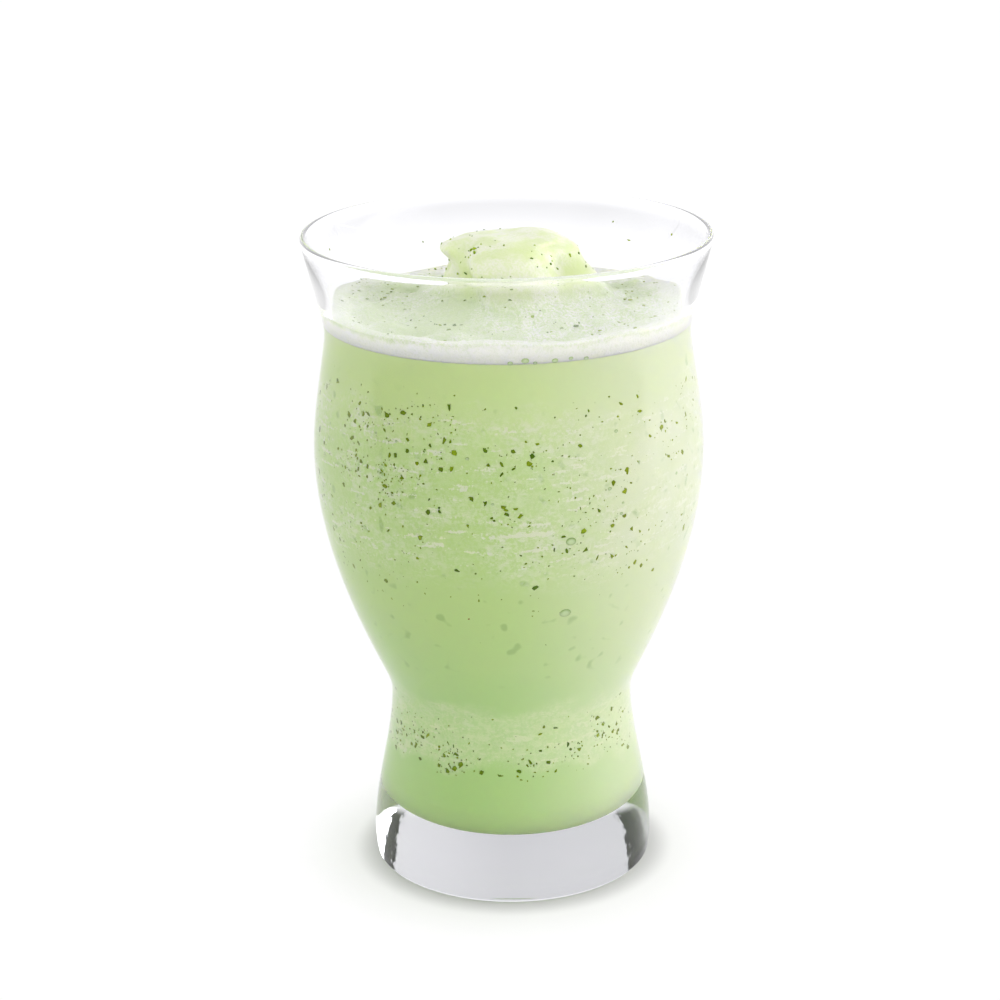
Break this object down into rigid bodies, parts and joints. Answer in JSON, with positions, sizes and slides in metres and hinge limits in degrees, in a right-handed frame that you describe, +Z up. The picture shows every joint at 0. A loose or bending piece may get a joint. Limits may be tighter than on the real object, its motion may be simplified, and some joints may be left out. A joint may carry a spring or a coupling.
{
  "type": "mint lemonade",
  "caption": "Frozen blended mint lemonade with a pale icy top and a frozen lump, in a clear waisted tumbler with a flared rim and a heavy solid base.",
  "frame": {"origin": "centre of the foot, on the surface that the tumbler stands on", "axes": "+Z up along the tumbler's axis, -Y towards the front that the picture shows, +X to the right"},
  "size_m": [0.092, 0.092, 0.1497],
  "materials": {
    "clear_glass": "clear soda glass, smooth and polished, with a fire-rounded rim",
    "green_drink": "cloudy pale green slush, wet, marbled with whitish ice foam",
    "icy_froth": "pale yellowish green frozen froth with fine ice crystals",
    "mint": "finely chopped dark green mint leaf, wet"
  },
  "bodies": {
    "root": {"glass": "clear_glass", "drink": "green_drink", "icy_top": "icy_froth"}
  },
  "joints": []
}
